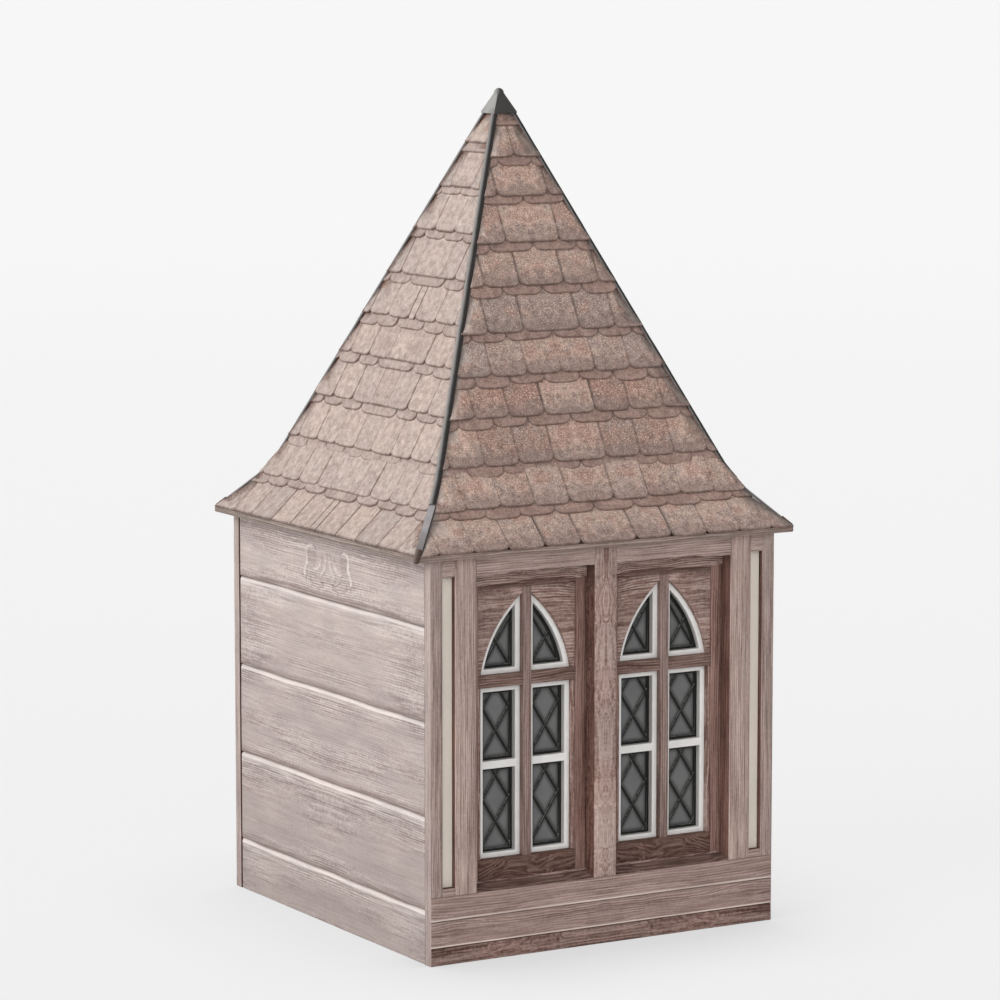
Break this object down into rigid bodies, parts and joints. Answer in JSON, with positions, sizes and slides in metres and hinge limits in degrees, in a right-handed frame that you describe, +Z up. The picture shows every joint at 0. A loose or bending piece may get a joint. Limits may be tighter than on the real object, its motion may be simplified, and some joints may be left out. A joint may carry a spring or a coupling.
{
  "type": "belfry",
  "caption": "Timber-framed belfry with a pair of leaded lancet windows front and back, boarded sides and a steep shingled pyramid roof with flared eaves.",
  "frame": {"origin": "middle of the footprint, at ground level", "axes": "+Z up, -Y out of the front, +X to the right of someone who faces the front"},
  "size_m": [1.654, 1.654, 3.1769],
  "materials": {
    "frame_wood": "weathered, unpainted",
    "side_boards": "weathered, unpainted",
    "window_wood": "dark stained, worn",
    "structure_wood": "sawn",
    "eave_wood": "weathered dark",
    "plaster": "lime plaster, matt",
    "casing_paint": "white paint, satin",
    "leaded_glass": "old, dusty, dark behind",
    "shingles": "weathered shingles, mottled",
    "lead": "dull lead sheet"
  },
  "bodies": {
    "root": {"sill_beams_side": "structure_wood", "sill_beams_end": "structure_wood", "floor_joists": "structure_wood", "floor_deck": "structure_wood", "side_studs": "structure_wood", "wall_plates": "structure_wood", "sole_plates": "structure_wood", "left_boards": "side_boards", "right_boards": "side_boards", "front_base_boards": "frame_wood", "front_sill_rail": "frame_wood", "front_short_rails": "frame_wood", "front_corner_posts": "frame_wood", "front_studs": "frame_wood", "front_centre_post": "frame_wood", "front_plaster": "plaster", "front_window_sills": "window_wood", "front_window_frames": "window_wood", "front_window_panels": "window_wood", "front_casings": "casing_paint", "front_glass": "leaded_glass", "back_base_boards": "frame_wood", "back_sill_rail": "frame_wood", "back_short_rails": "frame_wood", "back_corner_posts": "frame_wood", "back_studs": "frame_wood", "back_centre_post": "frame_wood", "back_plaster": "plaster", "back_window_sills": "window_wood", "back_window_frames": "window_wood", "back_window_panels": "window_wood", "back_casings": "casing_paint", "back_glass": "leaded_glass", "eave_boards_side": "eave_wood", "eave_boards_end": "eave_wood", "flare_front": "shingles", "flare_back": "shingles", "flare_left": "shingles", "flare_right": "shingles", "slope_front": "shingles", "slope_back": "shingles", "slope_left": "shingles", "slope_right": "shingles", "hip_rolls": "lead", "cap": "lead"}
  },
  "joints": []
}
